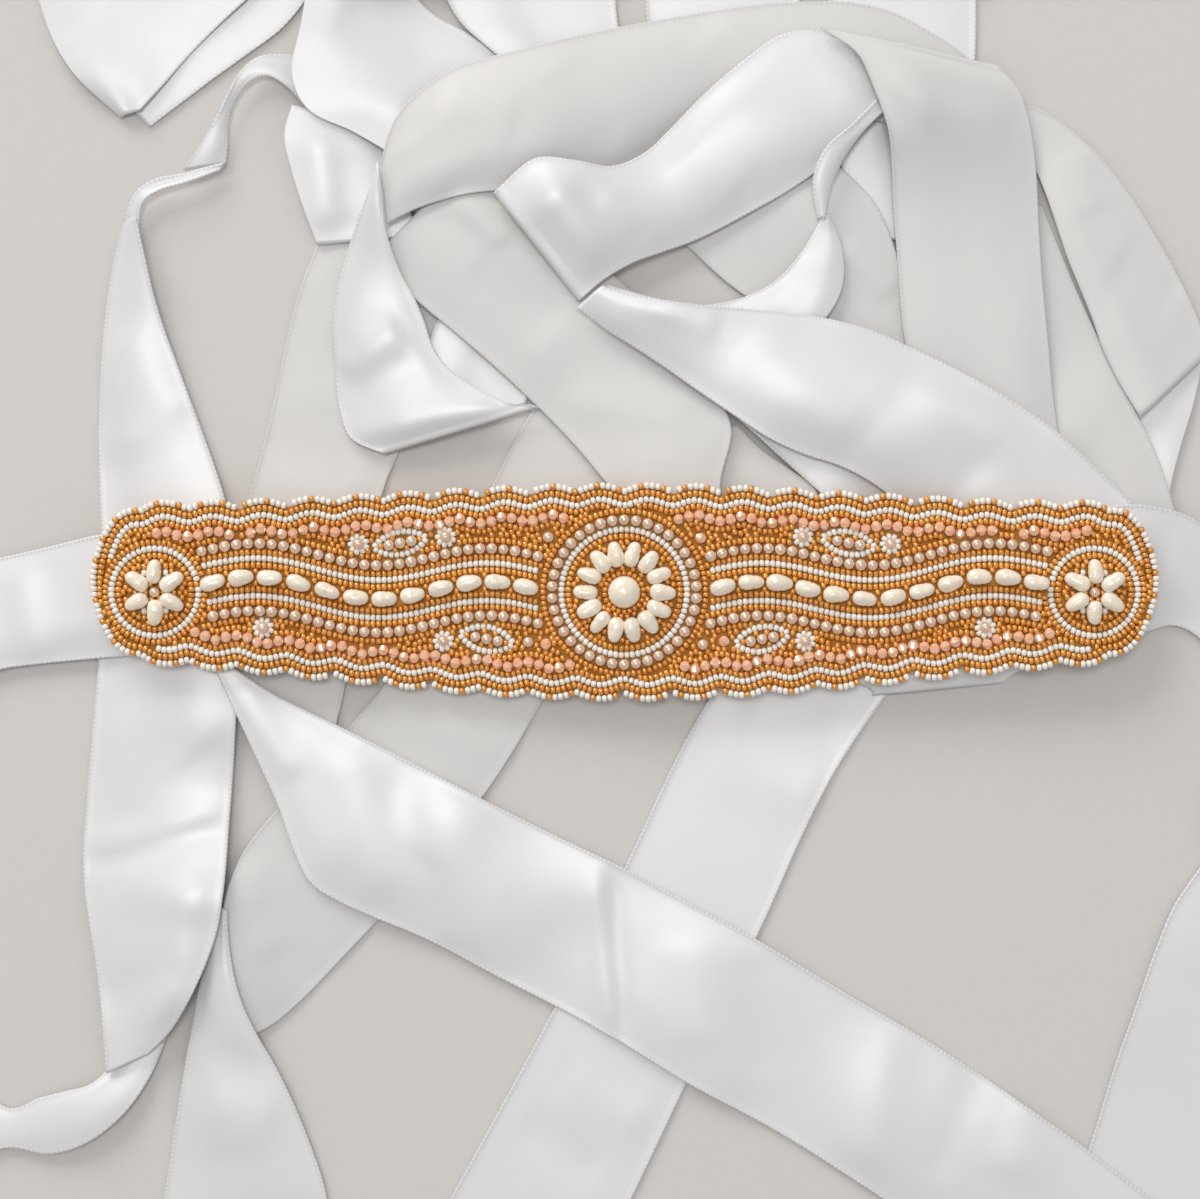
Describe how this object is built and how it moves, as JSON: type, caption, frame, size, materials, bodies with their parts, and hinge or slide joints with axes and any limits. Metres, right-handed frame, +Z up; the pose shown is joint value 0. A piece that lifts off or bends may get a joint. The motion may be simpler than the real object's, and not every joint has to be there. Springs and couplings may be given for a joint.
{
  "type": "bridal sash",
  "caption": "Long white satin ribbon sash lying in loose loops and folds, with a crescent panel of gold and pearl beadwork sewn across it.",
  "frame": {"origin": "point on the flat underside of the lowest ribbon stretch, below the middle of the beaded panel, on the plane the sash rests on", "axes": "+X along the beaded panel, towards the right of the picture; +Y across it, towards the top of the picture; +Z up, away from the plane it rests on"},
  "size_m": [0.4008, 0.3965, 0.0119],
  "materials": {
    "satin_ribbon": "double face satin",
    "beadwork": "glass beads and pearls on a stiff backing"
  },
  "bodies": {
    "root": {"lower_cross": "satin_ribbon", "lower_right_run": "satin_ribbon", "far_right_run": "satin_ribbon", "left_under_run": "satin_ribbon", "lower_left_drop": "satin_ribbon", "bottom_turn": "satin_ribbon", "left_tail": "satin_ribbon", "far_left_drop": "satin_ribbon", "left_arc_edge": "satin_ribbon", "left_twist_edge": "satin_ribbon", "far_left_rise": "satin_ribbon", "left_turn": "satin_ribbon", "top_left_back": "satin_ribbon", "top_left_front": "satin_ribbon", "left_fold_panel": "satin_ribbon", "top_cross_panel": "satin_ribbon", "top_mid_panel": "satin_ribbon", "top_right_panel_low": "satin_ribbon", "top_right_panel": "satin_ribbon", "top_turn_left": "satin_ribbon", "top_turn_right": "satin_ribbon", "loop_return": "satin_ribbon", "inner_right_sliver": "satin_ribbon", "middle_run": "satin_ribbon", "inner_tongue": "satin_ribbon", "back_panel": "satin_ribbon", "right_loop_under": "satin_ribbon", "right_inner_run": "satin_ribbon", "right_outer_loop": "satin_ribbon", "big_band": "satin_ribbon", "left_loop": "satin_ribbon", "upper_cross_band": "satin_ribbon", "crescent_face": "satin_ribbon", "crescent_edge": "satin_ribbon", "right_drop": "satin_ribbon", "sweep_under": "satin_ribbon", "right_sweep": "satin_ribbon", "lower_tongue": "satin_ribbon", "front_cross": "satin_ribbon", "sash_band": "satin_ribbon", "right_turn": "satin_ribbon", "beaded_panel": "beadwork"}
  },
  "joints": []
}
